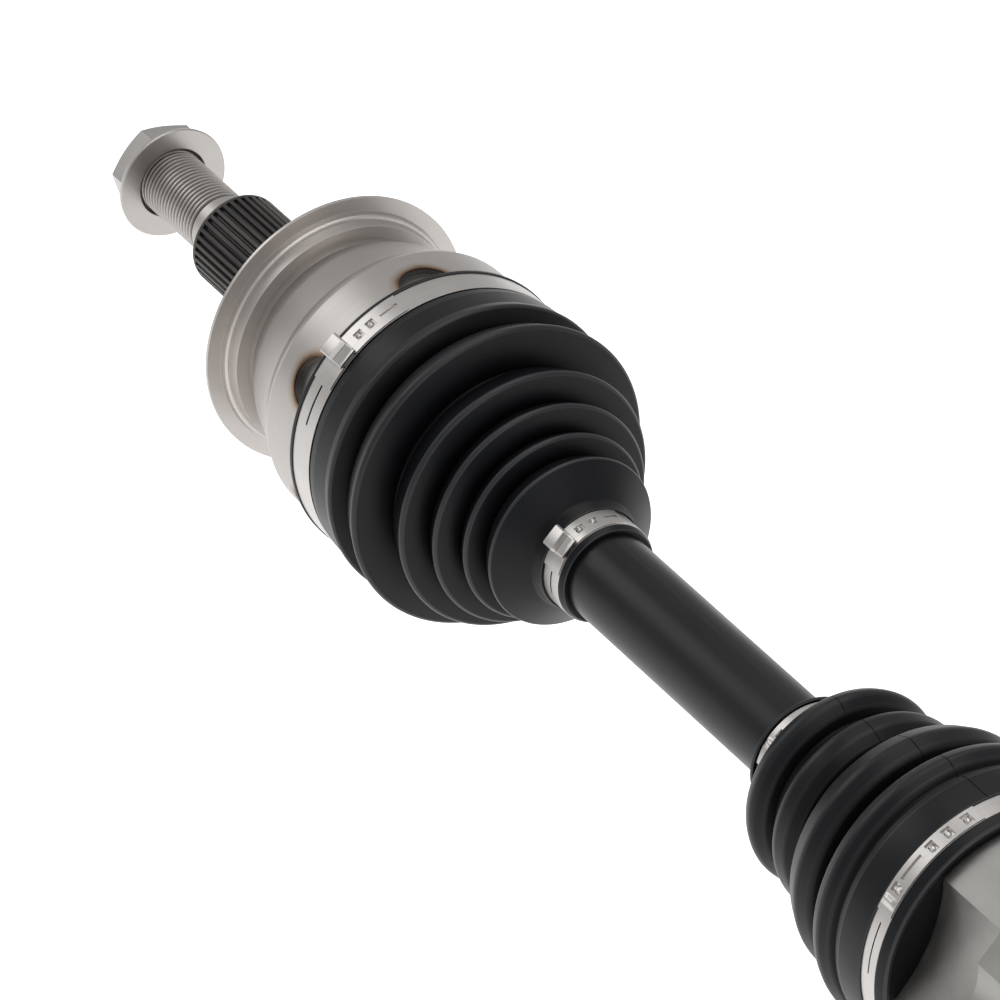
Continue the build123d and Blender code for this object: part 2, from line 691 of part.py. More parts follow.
with BuildPart() as tripod_spider:
    with BuildSketch(across(inner(-SPIDER_HALF_WIDTH))):
        Circle(HUB_R)
    extrude(amount=2 * SPIDER_HALF_WIDTH)
    for index in range(3):
        with BuildSketch(trunnion_plane(index, TRUNNION_ROOT)):
            Circle(TRUNNION_R)
        extrude(amount=TRUNNION_TOP - TRUNNION_ROOT)
        with BuildSketch(trunnion_plane(index, TRUNNION_ROOT)):
            Circle(COLLAR_R)
        extrude(amount=COLLAR_TOP - TRUNNION_ROOT)
        with BuildSketch(trunnion_plane(index, SNAP_GROOVE_BASE)):
            Circle(TRUNNION_R + 1)
            Circle(SNAP_GROOVE_R, mode=Mode.SUBTRACT)
        extrude(amount=SNAP_GROOVE_WIDTH, mode=Mode.SUBTRACT)
    with BuildSketch(across(inner(-SPIDER_HALF_WIDTH - 2))):
        Circle(SPIDER_BORE_R + GAP)
    extrude(amount=2 * SPIDER_HALF_WIDTH + 4, mode=Mode.SUBTRACT)
save(tripod_spider, "tripod_spider")

for index, side in enumerate(("top", "left", "right")):
    with BuildPart(trunnion_plane(index, ROLLER_PITCH_R)) as roller:
        Sphere(ROLLER_R)
        Cylinder(ROLLER_R + 1, ROLLER_WIDTH, mode=Mode.INTERSECT)
        Cylinder(ROLLER_BORE_R, ROLLER_WIDTH + 1, mode=Mode.SUBTRACT)
    save(roller, f"roller_{side}")
    with BuildPart(trunnion_plane(index, NEEDLE_BASE)) as needles:
        with PolarLocations(NEEDLE_CENTRE_R, NEEDLE_COUNT):
            Cylinder(NEEDLE_R, NEEDLE_LENGTH, align=(Align.CENTER, Align.CENTER, Align.MIN))
    save(needles, f"needles_{side}")

WASHER_BASE = NEEDLE_BASE + NEEDLE_LENGTH + 0.2
with BuildPart() as needle_washers:
    for index in range(3):
        with BuildSketch(trunnion_plane(index, WASHER_BASE)):
            Circle(ROLLER_BORE_R - 0.1)
            Circle(TRUNNION_R + GAP, mode=Mode.SUBTRACT)
        extrude(amount=0.8)
save(needle_washers, "needle_washers")

with BuildPart() as roller_snap_rings:
    for index in range(3):
        with BuildSketch(trunnion_plane(index, SNAP_GROOVE_BASE + 0.05)):
            Circle(TRUNNION_R + 1.6)
            Circle(SNAP_GROOVE_R + GAP, mode=Mode.SUBTRACT)
            with Locations((TRUNNION_R, 0)):
                Rectangle(6, 4, mode=Mode.SUBTRACT)
        extrude(amount=SNAP_GROOVE_WIDTH - 0.1)
save(roller_snap_rings, "roller_snap_rings")

with BuildPart() as spider_circlips:
    split_ring(inner(-14.4), 1.6, SPIDER_BORE_R - 1.1, SPIDER_BORE_R + 2.6, 4.0)
    split_ring(inner(12.75), 1.6, SPIDER_BORE_R - 1.1, SPIDER_BORE_R + 2.6, 4.0)
save(spider_circlips, "spider_circlips")
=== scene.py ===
"""Looks of the CV axle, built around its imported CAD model. Blender 4.5, metres, the model's own frame."""

import json
import math

import bmesh
import bpy
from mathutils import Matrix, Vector


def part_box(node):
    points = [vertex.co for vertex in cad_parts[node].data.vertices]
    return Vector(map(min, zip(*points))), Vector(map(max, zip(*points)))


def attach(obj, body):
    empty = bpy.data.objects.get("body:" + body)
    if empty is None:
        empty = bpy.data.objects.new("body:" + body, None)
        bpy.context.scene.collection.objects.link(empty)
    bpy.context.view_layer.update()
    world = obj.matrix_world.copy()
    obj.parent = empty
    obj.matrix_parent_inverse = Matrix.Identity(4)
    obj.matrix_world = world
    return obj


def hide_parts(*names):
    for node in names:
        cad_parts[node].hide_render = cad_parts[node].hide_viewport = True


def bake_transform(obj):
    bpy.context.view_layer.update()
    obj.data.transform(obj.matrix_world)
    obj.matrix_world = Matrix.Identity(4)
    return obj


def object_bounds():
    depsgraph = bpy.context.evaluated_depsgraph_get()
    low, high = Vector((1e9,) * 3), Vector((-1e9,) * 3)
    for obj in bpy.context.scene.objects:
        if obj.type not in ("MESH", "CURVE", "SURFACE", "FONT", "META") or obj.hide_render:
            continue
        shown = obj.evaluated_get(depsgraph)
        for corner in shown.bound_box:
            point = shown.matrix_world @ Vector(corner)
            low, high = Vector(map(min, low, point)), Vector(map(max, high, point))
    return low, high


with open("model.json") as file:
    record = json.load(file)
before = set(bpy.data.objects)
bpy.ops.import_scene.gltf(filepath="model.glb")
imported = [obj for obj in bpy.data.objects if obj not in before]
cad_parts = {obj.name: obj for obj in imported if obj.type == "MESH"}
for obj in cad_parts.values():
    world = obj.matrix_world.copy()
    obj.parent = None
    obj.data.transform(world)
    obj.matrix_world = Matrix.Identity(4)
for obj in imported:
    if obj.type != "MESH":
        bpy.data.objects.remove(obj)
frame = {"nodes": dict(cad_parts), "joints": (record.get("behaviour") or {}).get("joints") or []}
cad_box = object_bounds()
nodes = frame["nodes"]

MM = 0.001

# ------------------------------------------------------------------ places on the axle
joints = {joint["name"]: joint for joint in frame["joints"]}
OUTER_X = joints["outer_bend"]["pos_m"][0]
INNER_X = joints["inner_bend"]["pos_m"][0]

# the bell, and the pockets pressed into it over the ball tracks
BELL_R = 51.3 * MM
BELL_EDGE_R = 49.0 * MM
POCKET_COUNT = 6
POCKET_X = OUTER_X + 11.0 * MM
POCKET_R = 9.4 * MM
POCKET_FLOOR = (47.6 * MM, 50.6 * MM)

# the stub: its spline and the flanks of the teeth, its thread and the thread's roots
SPLINE_START = OUTER_X - 119.4 * MM
SPLINE_END = OUTER_X - 60.0 * MM
SPLINE_R = 18.2 * MM
TOOTH_FLANK = (16.6 * MM, 17.4 * MM)
THREAD_END = OUTER_X - 130.2 * MM
THREAD_ROOT = (10.8 * MM, 11.9 * MM)


# ------------------------------------------------------------------ shader helpers
class Shader:
    """A node material under construction, with short calls for the nodes it uses."""

    def __init__(self, name):
        self.material = bpy.data.materials.new(name)
        self.material.use_nodes = True
        self.tree = self.material.node_tree
        self.bsdf = self.tree.nodes["Principled BSDF"]
        coordinates = self.tree.nodes.new("ShaderNodeTexCoord")
        self.position = coordinates.outputs["Object"]
        axes = self.tree.nodes.new("ShaderNodeSeparateXYZ")
        self.wire(self.position, axes.inputs[0])
        self.x, self.y, self.z = axes.outputs

    def wire(self, value, socket):
        """Feed a socket from another socket, or set it to a plain value."""
        if isinstance(value, bpy.types.NodeSocket):
            self.tree.links.new(value, socket)
        else:
            socket.default_value = value

    def wire_colour(self, colour, socket):
        """Feed a colour socket from another socket, or set it to a plain red, green and blue."""
        self.wire(colour if isinstance(colour, bpy.types.NodeSocket) else (*colour, 1), socket)

    def math(self, operation, *values):
        node = self.tree.nodes.new("ShaderNodeMath")
        node.operation = operation
        for value, socket in zip(values, node.inputs):
            self.wire(value, socket)
        return node.outputs[0]

    def add(self, first, second):
        return self.math("ADD", first, second)

    def times(self, first, *others):
        for other in others:
            first = self.math("MULTIPLY", first, other)
        return first

    def length(self, across, along):
        """Length of the line with these two components."""
        return self.math("SQRT", self.add(self.times(across, across), self.times(along, along)))

    def ramp(self, value, low, high, to_low=0.0, to_high=1.0):
        """Smooth step of value from low..high onto to_low..to_high."""
        node = self.tree.nodes.new("ShaderNodeMapRange")
        node.interpolation_type = "SMOOTHSTEP"
        for given, socket in zip((value, low, high, to_low, to_high), node.inputs):
            self.wire(given, socket)
        return node.outputs[0]

    def spread(self, noise, to_low=0.0, to_high=1.0):
        """The middle of a noise's range, stretched onto to_low..to_high."""
        return self.ramp(noise, 0.3, 0.7, to_low, to_high)

    def mix(self, share, first, second):
        """Colour between first and second."""
        node = self.tree.nodes.new("ShaderNodeMix")
        node.data_type = "RGBA"
        self.wire(share, node.inputs[0])
        self.wire_colour(first, node.inputs[6])
        self.wire_colour(second, node.inputs[7])
        return node.outputs[2]

    def noise(self, scale, detail=3.0, stretch=(1, 1, 1), rough=0.55):
        """Noise value over the object's own coordinates, stretched per axis; scale is per metre."""
        mapping = self.tree.nodes.new("ShaderNodeMapping")
        self.wire(self.position, mapping.inputs["Vector"])
        mapping.inputs["Scale"].default_value = stretch
        node = self.tree.nodes.new("ShaderNodeTexNoise")
        self.wire(mapping.outputs[0], node.inputs["Vector"])
        node.inputs["Scale"].default_value = scale
        node.inputs["Detail"].default_value = detail
        node.inputs["Roughness"].default_value = rough
        return node.outputs["Fac"]

    def bump(self, height, strength, distance, edge=0.0):
        """Bump from a height, over edges rounded by the edge radius."""
        node = self.tree.nodes.new("ShaderNodeBump")
        node.inputs["Strength"].default_value = strength
        node.inputs["Distance"].default_value = distance
        self.wire(height, node.inputs["Height"])
        if edge:
            bevel = self.tree.nodes.new("ShaderNodeBevel")
            bevel.samples = 4
            bevel.inputs["Radius"].default_value = edge
            self.wire(bevel.outputs[0], node.inputs["Normal"])
        self.wire(node.outputs[0], self.bsdf.inputs["Normal"])

    def finish(self, colour, roughness, metallic, **more):
        self.wire_colour(colour, self.bsdf.inputs["Base Color"])
        self.wire(roughness, self.bsdf.inputs["Roughness"])
        self.wire(metallic, self.bsdf.inputs["Metallic"])
        for name, value in more.items():
            self.wire(value, self.bsdf.inputs[name.replace("_", " ")])
        return self.material


def turned_steel(name, colour, roughness=0.38, lines=0.3):
    """Satin steel with fine turned rings round the axle and a faint mottle."""
    shader = Shader(name)
    rings = shader.noise(1.0, detail=4, stretch=(4200, 25, 25))
    mottle = shader.noise(45, detail=4)
    darker = [channel * 0.96 for channel in colour]
    lighter = [min(1, channel * 1.03) for channel in colour]
    tone = shader.mix(shader.spread(mottle), darker, lighter)
    rough = shader.add(shader.spread(rings, roughness - 0.04, roughness + 0.05),
                       shader.spread(mottle, -0.02, 0.03))
    shader.bump(rings, lines, 0.02 * MM, edge=0.25 * MM)
    return shader, tone, rough


def tint_pockets(shader, radius, tone):
    """Heat tint round the bell's pockets, and a tone on their floors that is pale at the middle and darker
    towards the rim.
    """
    # distance from the nearest pocket's centre, measured over the bell's surface
    pitch = 2 * math.pi / POCKET_COUNT
    turn = shader.math("DIVIDE", shader.math("ARCTAN2", shader.y, shader.z), pitch)
    off = shader.math("SUBTRACT", turn, shader.math("ROUND", turn))
    reach = shader.length(shader.times(off, BELL_R * pitch), shader.math("SUBTRACT", shader.x, POCKET_X))
    wobble = shader.times(shader.math("SUBTRACT", shader.noise(160, detail=3), 0.5), 1.6 * MM)
    edge = shader.add(reach, wobble)
    # a wide straw ring and a narrow brown one inside it, on the bell only
    on_bell = shader.times(shader.math("GREATER_THAN", radius, BELL_EDGE_R),
                           shader.ramp(shader.x, POCKET_X - 16 * MM, POCKET_X - 15 * MM))
    straw = shader.ramp(edge, POCKET_R + 0.6 * MM, POCKET_R + 4.2 * MM, 0.75, 0.0)
    brown = shader.ramp(edge, POCKET_R, POCKET_R + 1.9 * MM, 0.85, 0.0)
    tone = shader.mix(shader.times(on_bell, straw), tone, (0.30, 0.205, 0.125))
    tone = shader.mix(shader.times(on_bell, brown), tone, (0.105, 0.050, 0.026))
    # floor of the pockets: pale at the middle, darker towards the rim
    low, high = POCKET_FLOOR
    floor = shader.times(shader.math("LESS_THAN", radius, high), shader.math("GREATER_THAN", radius, low),
                         shader.math("GREATER_THAN", shader.x, POCKET_X - POCKET_R - 0.3 * MM))
    depth = shader.mix(shader.ramp(reach, POCKET_R * 0.3, POCKET_R), (0.48, 0.49, 0.50), (0.22, 0.21, 0.20))
    return shader.mix(floor, tone, depth)


def bell_steel():
    """Bell and stub: satin steel, charcoal spline, dark thread roots, tinted pockets."""
    shader, tone, rough = turned_steel("bell_steel", (0.455, 0.430, 0.410))
    radius = shader.length(shader.y, shader.z)
    tone = tint_pockets(shader, radius, tone)
    # charcoal spline with faint brown streaks, darkest between the teeth
    spline = shader.times(shader.ramp(shader.x, SPLINE_START, SPLINE_START + 0.6 * MM),
                          shader.ramp(shader.x, SPLINE_END, SPLINE_END + 0.6 * MM, 1.0, 0.0),
                          shader.math("LESS_THAN", radius, SPLINE_R))
    streaks = shader.noise(1.0, detail=4, stretch=(60, 900, 900))
    tooth = shader.mix(shader.ramp(streaks, 0.35, 0.7), (0.056, 0.054, 0.055), (0.085, 0.074, 0.066))
    dark = shader.mix(shader.ramp(radius, *TOOTH_FLANK), (0.044, 0.043, 0.044), tooth)
    tone = shader.mix(spline, tone, dark)
    # oil and shadow in the thread's roots
    thread = shader.times(shader.ramp(shader.x, THREAD_END - 0.4 * MM, THREAD_END, 1.0, 0.0),
                          shader.ramp(radius, *THREAD_ROOT, 0.92, 0.0))
    tone = shader.mix(thread, tone, (0.045, 0.040, 0.038))
    metal = shader.math("SUBTRACT", 1.0, shader.times(spline, 0.15))
    return shader.finish(tone, shader.add(rough, shader.times(spline, 0.08)), metal)


def plain_turned(name, colour, roughness, lines=0.3):
    """Turned steel of one colour, for the nut and the zinc-plated shield."""
    shader, tone, rough = turned_steel(name, colour, roughness, lines)
    return shader.finish(tone, rough, 1.0)


def tulip_steel():
    """Forged and machined tulip: smooth satin steel with a faint cast mottle."""
    shader = Shader("tulip_steel")
    mottle = shader.noise(110, detail=5)
    fine = shader.noise(1500, detail=2)
    tone = shader.mix(shader.spread(mottle), (0.33, 0.32, 0.305), (0.37, 0.36, 0.345))
    shader.bump(fine, 0.2, 0.03 * MM, edge=0.35 * MM)
    return shader.finish(tone, shader.spread(mottle, 0.38, 0.44), 1.0)


def strip_steel():
    """Rolled stainless strip of the boot clamps: smooth satin with lengthwise rolling marks."""
    shader = Shader("strip_steel")
    marks = shader.noise(1.0, detail=4, stretch=(5000, 60, 60))
    cloud = shader.noise(60, detail=2)
    tone = shader.mix(shader.ramp(cloud, 0.35, 0.7), (0.50, 0.48, 0.465), (0.55, 0.53, 0.51))
    shader.bump(marks, 0.15, 0.02 * MM, edge=0.15 * MM)
    return shader.finish(tone, shader.spread(marks, 0.27, 0.35), 1.0)


def polished_steel():
    """Ground and polished running surfaces, with a light oil film."""
    shader = Shader("polished_steel")
    grind = shader.noise(1.0, detail=3, stretch=(2500, 2500, 300))
    film = shader.noise(60, detail=3)
    tone = shader.mix(shader.ramp(film, 0.35, 0.65), (0.56, 0.55, 0.53), (0.66, 0.65, 0.63))
    shader.bump(grind, 0.12, 0.02 * MM, edge=0.2 * MM)
    return shader.finish(tone, shader.spread(film, 0.12, 0.24), 1.0)


def spring_steel():
    """Oiled black spring steel of the rings and washers."""
    shader = Shader("spring_steel")
    grain = shader.noise(600, detail=4)
    tone = shader.mix(shader.spread(grain), (0.045, 0.045, 0.05), (0.085, 0.083, 0.08))
    shader.bump(grain, 0.2, 0.03 * MM, edge=0.1 * MM)
    return shader.finish(tone, shader.spread(grain, 0.32, 0.45), 0.8)


def bar_paint():
    """Satin black paint of the bar, with faint orange peel and dust."""
    shader = Shader("bar_paint")
    peel = shader.noise(700, detail=2)
    cloud = shader.noise(25, detail=3)
    tone = shader.mix(shader.spread(cloud), (0.0060, 0.0060, 0.0068), (0.0085, 0.0085, 0.0095))
    shader.bump(peel, 0.10, 0.05 * MM)
    return shader.finish(tone, shader.spread(cloud, 0.30, 0.36), 0.0, Specular_IOR_Level=0.24)


def boot_rubber(name):
    """Moulded rubber: satin black with faint specks of dust, painted shade in its folds and a painted
    highlight on its crests.
    """
    shader = Shader(name)
    grain = shader.noise(1800, detail=2)
    cloud = shader.noise(30, detail=3)
    specks = shader.ramp(shader.noise(520, detail=1), 0.80, 0.86)
    crest_highlight_mark = shader.tree.nodes.new("ShaderNodeAttribute")
    crest_highlight_mark.attribute_name = "crest"
    crest = crest_highlight_mark.outputs["Fac"]
    # painted shade: ambient occlusion in the folds, used below to darken the tone and cut the shine
    shade = shader.tree.nodes.new("ShaderNodeAmbientOcclusion")
    shade.samples = 8
    shade.inputs["Distance"].default_value = 16 * MM
    open_sky = shader.ramp(shade.outputs["AO"], 0.25, 0.95, 0.12, 1.0)
    tone = shader.mix(shader.spread(cloud), (0.0026, 0.0030, 0.0042), (0.0042, 0.0047, 0.0062))
    tone = shader.mix(shader.times(specks, 0.3), tone, (0.08, 0.08, 0.08))
    # painted shade: the rubber goes near-black where the folds close in
    tone = shader.mix(open_sky, (0.0008, 0.0008, 0.0010), tone)
    # painted highlight: paler rubber along the crests
    tone = shader.mix(shader.times(crest, 0.5), tone, (0.030, 0.031, 0.034))
    # shine raised on the crests for the painted highlight and cut in the folds for the painted shade
    shine = shader.times(shader.add(0.215, shader.times(crest, 0.2)), open_sky)
    shader.bump(grain, 0.10, 0.03 * MM)
    return shader.finish(tone, shader.spread(cloud, 0.33, 0.40), 0.0, Specular_IOR_Level=shine)


FLOOR_GLOW = 0.60
FLOOR_LIFT = 0.2


def pale_floor():
    """Matt near-white floor that glows, and glows a little more where the camera sees it directly."""
    shader = Shader("pale_floor")
    cloud = shader.noise(3, detail=2)
    tone = shader.mix(shader.spread(cloud), (0.90, 0.90, 0.90), (0.93, 0.93, 0.93))
    path = shader.tree.nodes.new("ShaderNodeLightPath")
    lift = shader.add(shader.times(path.outputs["Is Camera Ray"], FLOOR_LIFT), FLOOR_GLOW)
    return shader.finish(tone, 0.8, 0.0, Emission_Color=(1, 1, 1, 1), Emission_Strength=lift)


def paint(obj, material):
    """Give an object one material in all its slots."""
    obj.data.materials.clear()
    obj.data.materials.append(material)


def smooth(mesh, degrees):
    """Shade smooth, with edges sharper than the angle kept crisp."""
    mesh.shade_smooth()
    mesh.set_sharp_from_angle(angle=math.radians(degrees))


def add_object(name, data):
    """Put a new object in the scene."""
    obj = bpy.data.objects.new(name, data)
    bpy.context.scene.collection.objects.link(obj)
    return obj


def add_mesh(name, shape):
    """Put a bmesh in the scene as an object, and free it."""
    mesh = bpy.data.meshes.new(name)
    shape.to_mesh(mesh)
    shape.free()
    return add_object(name, mesh)


# ------------------------------------------------------------------ lathe for the boots
CREST_FILLET = 1.2  # an outer corner of this fillet, in millimetres, gets the full painted crest highlight
STRAIGHT = math.radians(179)  # a corner flatter than this is left alone
SIDE_SHARE = 0.49  # the most that a fillet takes of each side of its corner


def rounded(points, count=7):
    """Outline with each corner (x, r, fillet radius) rounded into a short arc, all in millimetres."""
    out = []
    corners = [Vector(point[:2]) for point in points]
    for index, here in enumerate(corners):
        fillet = points[index][2]
        to_before = corners[index - 1] - here
        to_after = corners[(index + 1) % len(corners)] - here
        angle = to_before.angle(to_after)
        if fillet <= 0 or angle > STRAIGHT:
            out.append(here)
            continue
        reach = fillet / math.tan(angle / 2)
        reach = min(reach, SIDE_SHARE * to_before.length, SIDE_SHARE * to_after.length)
        radius = reach * math.tan(angle / 2)
        start = here + to_before.normalized() * reach
        end = here + to_after.normalized() * reach
        middle_way = (to_before.normalized() + to_after.normalized()).normalized()
        centre = here + middle_way * (radius / math.sin(angle / 2))
        first = start - centre
        sweep = first.angle_signed(end - centre)
        for step in range(count + 1):
            turn = -sweep * step / count  # mathutils counts a clockwise angle as positive
            cos, sin = math.cos(turn), math.sin(turn)
            out.append(centre + Vector((first.x * cos - first.y * sin, first.x * sin + first.y * cos)))
    return out


def lathe(name, outline, angles, groove=None):
    """Closed ring of rubber: the outline (x, r in millimetres) turned round the axle.

    groove(r, angle) may lower a point, for marks that don't run all the way round.
    """
    shape = bmesh.new()
    crest = shape.verts.layers.float.new("crest")
    rings = []
    for angle in angles:
        ring = []
        for x, r in outline:
            if groove:
                r = groove(r, angle)
            ring.append(shape.verts.new((x * MM, -r * MM * math.sin(angle), r * MM * math.cos(angle))))
        rings.append(ring)
    count = len(outline)
    # how sharply the outline turns outwards at each point, kept as the mask of the rubber's painted crest
    # highlight
    for index, here in enumerate(outline):
        before, after = outline[index - 1], outline[(index + 1) % count]
        turn = (here - before).angle_signed(after - here, 0.0)
        sharpness = 2 * turn / ((here - before).length + (after - here).length)
        for ring in rings:
            ring[index][crest] = min(1.0, max(0.0, sharpness * CREST_FILLET))
    for one, two in zip(rings, rings[1:] + rings[:1]):
        for index in range(count):
            following = (index + 1) % count
            shape.faces.new((one[index], one[following], two[following], two[index]))
    bmesh.ops.recalc_face_normals(shape, faces=shape.faces)
    return add_mesh(name, shape)


def even_angles(count):
    return [2 * math.pi * index / count for index in range(count)]


# ------------------------------------------------------------------ boots
# A boot's outline has corners (distance from its joint's centre, radius, fillet), in millimetres.
WALL = 1.5
BAR_BORE = 15.55
BELL_BORE = 48.45
BUSHING_BORE = 46.05
BOOT_CREASE = 50


def skin_inside(points, wall):
    """The outline's points moved a wall thickness inwards, square to the skin, in reverse order."""
    normals = []
    for (x1, r1, _), (x2, r2, _) in zip(points, points[1:]):
        length = math.hypot(x2 - x1, r2 - r1)
        normals.append(((r2 - r1) / length, (x1 - x2) / length))
    before = [normals[0], *normals]
    after = [*normals, normals[-1]]
    skin = []
    for (x, r, fillet), (ax, ar), (bx, br) in zip(points, before, after):
        reach = wall / (1 + ax * bx + ar * br)
        skin.append((x + reach * (ax + bx), r + reach * (ar + br), fillet))
    return skin[::-1]


def make_boot(name, node, material, centre, outline, angles, groove=None):
    """A turned piece of boot, shaded smooth and painted, in place of its CAD part, which it hides."""
    on_axle = [(centre / MM + x, r, fillet) for x, r, fillet in outline]
    boot = lathe(name, rounded(on_axle), angles, groove)
    smooth(boot.data, BOOT_CREASE)
    paint(boot, material)
    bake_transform(boot)
    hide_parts(node)


# ------------------------------------------------------------------ outer boot
# lip, clamp seat and the smooth band behind it
OUTER_BAND = [
    (11.5, BELL_BORE, 0), (11.1, 53.5, 0.5), (12.85, 53.5, 0.3), (12.85, 52.5, 0), (23.45, 52.5, 0.4),
    (24.6, 53.2, 0.5), (27.6, 53.7, 1.0),
]
# The band's end, then a line for each saw-tooth fold: its valley, the knee of its rise and its crest,
# with a steep flank down to the next. The last point is the foot of the cone.
OUTER_FOLDS = [
    (36.2, 54.2, 2.0), (40.3, 55.4, 1.5),
    (44.8, 45.8, 1.2), (48.8, 52.8, 0.8), (57.0, 56.3, 1.6),
    (60.3, 39.5, 1.2), (63.8, 44.2, 0.8), (74.0, 47.9, 1.6),
    (76.2, 33.8, 1.0), (78.0, 38.5, 0.7), (84.1, 41.2, 1.4),
    (86.0, 28.8, 1.0), (87.8, 32.5, 0.7), (93.1, 35.0, 1.4),
    (95.0, 24.6, 1.0), (96.9, 28.6, 0.7), (103.2, 31.3, 1.2),
    (111.6, 19.8, 2.2),
]
# collar and small clamp seat
OUTER_COLLAR = [
    (115.9, 19.0, 0.4), (115.9, 17.55, 0), (125.2, 17.55, 0), (125.2, 18.1, 0.5),
    (127.3, 17.2, 0.6), (127.3, BAR_BORE, 0),
]


def make_outer_boot():
    outline = OUTER_BAND + OUTER_FOLDS + OUTER_COLLAR + [(111.0, BAR_BORE, 0)]
    outline += skin_inside(OUTER_FOLDS, WALL) + [(25.5, 52.2, 1.0), (23.5, BELL_BORE, 0)]
    make_boot("outer_boot_skin", "outer_boot", boot_rubber("outer_boot_rubber"), OUTER_X, outline,
              even_angles(288))


# ------------------------------------------------------------------ inner boot
# The inner boot crosses two joints, so it is made in two pieces that meet in this valley.
MEETING_X = -53.5
MEETING_VALLEY = (MEETING_X, 37.8, 1.2)
# lip and clamp seat of the small end
INNER_COLLAR = [
    (-128.1, BAR_BORE, 0), (-128.1, 20.9, 0.6), (-126.3, 20.9, 0.3), (-126.3, 19.15, 0), (-118.2, 19.15, 0),
]
SMALL_FOLDS = [
    (-118.2, 20.8, 0.8), (-115.0, 27.5, 5.0), (-110.5, 33.5, 5.0), (-105.6, 35.6, 4.0), (-101.3, 32.4, 4.0),
    (-98.9, 27.8, 1.2), (-95.8, 32.2, 4.0), (-91.0, 36.1, 5.0), (-85.2, 35.6, 4.0), (-81.2, 33.2, 3.0),
    (-79.4, 29.6, 1.2), (-76.6, 36.4, 4.0), (-71.0, 42.2, 5.0), (-64.0, 45.3, 5.0), (-57.6, 44.0, 4.0),
    MEETING_VALLEY,
]
LARGE_FOLDS = [
    MEETING_VALLEY, (-51.4, 43.4, 4.0), (-47.4, 49.0, 5.0), (-42.8, 50.6, 4.0), (-38.6, 49.0, 3.0),
    (-36.6, 46.2, 1.0),
]
# last rise, band, clamp seat and rim
INNER_BAND = [
    (-34.6, 48.8, 1.5), (-31.8, 49.5, 1.5), (-19.75, 49.6, 0.5), (-19.75, 48.45, 0),
    (-12.35, 48.45, 0), (-12.35, 49.2, 0.5), (-8.0, 48.0, 1.2), (-8.0, BUSHING_BORE, 0.6),
]
PARTING_ANGLE = math.radians(5)
PARTING_WIDTH = 0.24
PARTING_DEPTH = 0.22
PARTING_LOW_R = 27


def parting_line(r, angle):
    """A fine groove where the mould's halves met, except near the small end."""
    in_groove = abs(angle - PARTING_ANGLE) * r < PARTING_WIDTH / 2
    return r - PARTING_DEPTH if in_groove and r > PARTING_LOW_R else r


def parted_angles():
    """Even steps, with extra ones that give the parting line its two edges."""
    extra = [PARTING_ANGLE + math.radians(d) for d in (-0.45, -0.25, -0.06, 0.06, 0.25, 0.45)]
    return sorted(even_angles(240) + extra)


def make_inner_boot():
    small = INNER_COLLAR + SMALL_FOLDS + skin_inside(SMALL_FOLDS, WALL) + [(-119.5, BAR_BORE, 0)]
    large = LARGE_FOLDS + INNER_BAND + [(-36.2, BUSHING_BORE, 0)] + skin_inside(LARGE_FOLDS, WALL)
    material = boot_rubber("inner_boot_rubber")
    for name, outline, bodies, bend in (
        ("inner_boot_small_end", small, ("shaft", "roller_top"), (-116, MEETING_X - 3)),
        ("inner_boot_large_end", large, ("roller_top", "inner_housing"), (MEETING_X + 2, -33)),
    ):
        make_boot(name, "inner_boot", material, INNER_X, outline, parted_angles(), parting_line)


# ------------------------------------------------------------------ boot clamps of folded strip
# Lengths are in millimetres, angles in degrees from up towards -Y, and shares and cuts in half widths.
STRIP = 0.55  # thickness
CUTS = (-1, -0.94, -0.66, -0.38, -0.2, -0.08, 0.08, 0.2, 0.38, 0.66, 0.94, 1)
LAP_SHARE = 0.97
TONGUE_SHARE = 0.08
WINDOW_LENGTH = 3.1
HOOK_HEIGHT = 1.35
HOOK_LEAD, HOOK_TRAIL = 53, 69  # a hook's ends either side of its window, in degrees at 1 mm radius
EAR_FOOT = 0.62  # the ear's ends either side of its middle, in ear lengths
BAND_STEP, LAP_STEP, TAIL_STEP = 0.4, 0.35, 0.5
CLAMP_CREASE = 40


def arc_path(radius, start, end, step):
    """Points (angle, radius) along an arc, both ends included."""
    count = max(2, round(abs(math.radians(end - start)) * radius / step))
    return [(start + (end - start) * index / count, radius) for index in range(count + 1)]


def band_path(radius, lap, tail):
    """One full turn in steps of a degree, with finer ones under a lap that starts past the top."""
    path = [(float(beta), radius) for beta in range(360)]
    low, high = lap + 1, tail - 1
    if low < 0:
        return path
    coarse = [(beta, r) for beta, r in path if not low <= beta <= high]
    return sorted(coarse + arc_path(radius, low, high, BAND_STEP))


def ear_path(radius, centre, length, height):
    """Crimped ear: a rounded box pinched at its feet, standing on the strip."""
    corners = (
        (-EAR_FOOT, 0, 0.0), (-0.36, 0.02, 0.35), (-0.46, 0.5, 0.5), (-0.44, 0.97, 0.9),
        (0.44, 0.97, 0.9), (0.46, 0.5, 0.5), (0.36, 0.02, 0.35), (EAR_FOOT, 0, 0.0),
    )
    shape = rounded([(u * length, h * height, fillet) for u, h, fillet in corners], 4)
    return [(centre + math.degrees(u / radius), radius + h) for u, h in shape]


def lap_path(radius, lap, tail, ear):
    """The lap from its end at the angle lap to its tail, over its ear if it has one."""
    if not ear:
        return arc_path(radius, lap, tail, LAP_STEP)
    centre, length, height = ear
    foot = math.degrees(EAR_FOOT * length / radius)
    path = arc_path(radius, lap, centre - foot, LAP_STEP)[:-1] + ear_path(radius, centre, length, height)
    return path + arc_path(radius, centre + foot, tail, TAIL_STEP)[1:]


def crimp(cut):
    """Share of an ear's height left at a cut across the strip: its gearbox side is pinched down."""
    if cut < 0.1:
        return 1.0
    return 0.34 if cut > 0.5 else 0.62


def spans_at(spans, beta, low, high):
    """Those of the spans (start, end, share, ...) that hold an angle and the stretch between two cuts."""
    return [span for span in spans if span[0] <= beta <= span[1] and -span[2] <= low and high <= span[2]]


